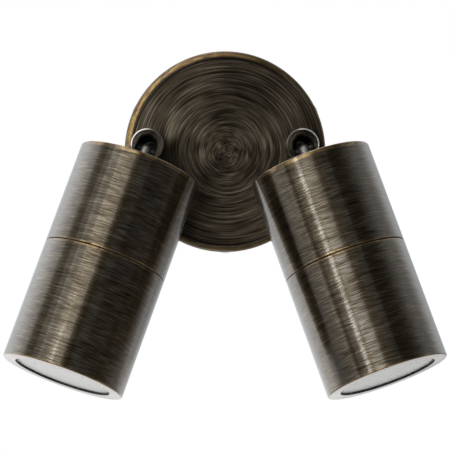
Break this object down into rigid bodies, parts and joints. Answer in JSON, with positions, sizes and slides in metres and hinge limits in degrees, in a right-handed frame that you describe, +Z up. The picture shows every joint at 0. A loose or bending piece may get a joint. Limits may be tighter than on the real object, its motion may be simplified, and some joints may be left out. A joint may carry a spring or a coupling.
{
  "type": "pivoting spotlight wall light",
  "caption": "Twin cylinder spotlight for a wall: each head swivels and tilts on a slotted barrel that stands on a round back plate in dark patinated brass.",
  "frame": {"origin": "middle of the round back plate, on the wall plane", "axes": "+Z up, +Y into the wall, the light faces -Y, +X to the right seen from the front"},
  "size_m": [0.2106, 0.1105, 0.1703],
  "materials": {
    "aged_brass": "satin",
    "steel": "satin",
    "rubber": "matte",
    "nylon": "matte",
    "terminal_white": "satin",
    "terminal_brass": "satin",
    "holder_ceramic": "satin",
    "lamp_body": "satin",
    "frosted_glass": "satin",
    "lead_sleeving": "matte"
  },
  "bodies": {
    "wall_base": {"wall_gasket": "rubber", "wall_bracket": "steel", "rim_tabs": "steel", "back_plate": "aged_brass", "rim_screws": "steel", "terminal_block": "terminal_white", "terminal_screws": "terminal_brass", "block_fixings": "steel", "earth_screw": "terminal_brass", "left_base_washer": "nylon", "right_base_washer": "nylon", "left_base_leads": "lead_sleeving", "right_base_leads": "lead_sleeving"},
    "left_swivel": {"left_swivel_barrel": "aged_brass", "left_spring_washer": "steel", "left_swivel_nut": "steel", "left_hinge_screw": "steel", "left_friction_washers": "nylon"},
    "left_head": {"left_stem": "aged_brass", "left_rear_body": "aged_brass", "left_sealing_ring": "rubber", "left_stem_nut": "steel", "left_holder_strip": "steel", "left_lampholder": "holder_ceramic", "left_holder_screws": "steel", "left_lamp": "lamp_body", "left_head_leads": "lead_sleeving"},
    "left_lens": {"left_glass": "frosted_glass", "left_glass_gasket": "rubber", "left_glass_retainer": "steel"},
    "left_sleeve": {"left_front_sleeve": "aged_brass"},
    "right_swivel": {"right_swivel_barrel": "aged_brass", "right_spring_washer": "steel", "right_swivel_nut": "steel", "right_hinge_screw": "steel", "right_friction_washers": "nylon"},
    "right_head": {"right_stem": "aged_brass", "right_rear_body": "aged_brass", "right_sealing_ring": "rubber", "right_stem_nut": "steel", "right_holder_strip": "steel", "right_lampholder": "holder_ceramic", "right_holder_screws": "steel", "right_lamp": "lamp_body", "right_head_leads": "lead_sleeving"},
    "right_lens": {"right_glass": "frosted_glass", "right_glass_gasket": "rubber", "right_glass_retainer": "steel"},
    "right_sleeve": {"right_front_sleeve": "aged_brass"}
  },
  "joints": [
    {"name": "left_swivel_turn", "type": "hinge", "parent": "wall_base", "child": "left_swivel", "pos_m": [-0.0375, -0.02, 0.0021], "axis": [0, 1, 0], "range_deg": [-19.7, 160.3]},
    {"name": "left_tilt", "type": "hinge", "parent": "left_swivel", "child": "left_head", "pos_m": [-0.03834, -0.056, -0.00025], "axis": [-0.9415, 0, 0.3371], "range_deg": [-12.4, 77.6]},
    {"name": "left_glass_advance", "type": "slide", "parent": "left_head", "child": "left_lens", "axis": [-0.3292, -0.2147, -0.9195], "range_m": [0, 0.0061]},
    {"name": "left_sleeve_turn", "type": "hinge", "parent": "left_lens", "child": "left_sleeve", "pos_m": [-0.03834, -0.056, -0.00025], "axis": [-0.3292, -0.2147, -0.9195], "range_deg": [0, 1440]},
    {"name": "right_swivel_turn", "type": "hinge", "parent": "wall_base", "child": "right_swivel", "pos_m": [0.0375, -0.02, 0.0021], "axis": [0, -1, 0], "range_deg": [-19.7, 160.3]},
    {"name": "right_tilt", "type": "hinge", "parent": "right_swivel", "child": "right_head", "pos_m": [0.03834, -0.056, -0.00025], "axis": [-0.9415, 0, -0.3371], "range_deg": [-12.4, 77.6]},
    {"name": "right_glass_advance", "type": "slide", "parent": "right_head", "child": "right_lens", "axis": [0.3292, -0.2147, -0.9195], "range_m": [0, 0.0061]},
    {"name": "right_sleeve_turn", "type": "hinge", "parent": "right_lens", "child": "right_sleeve", "pos_m": [0.03834, -0.056, -0.00025], "axis": [0.3292, -0.2147, -0.9195], "range_deg": [0, 1440]}
  ],
  "couplings": [
    {"joint": "left_glass_advance", "follows": "left_sleeve_turn", "m_per_rad": 0.00023873},
    {"joint": "right_glass_advance", "follows": "right_sleeve_turn", "m_per_rad": 0.00023873}
  ]
}
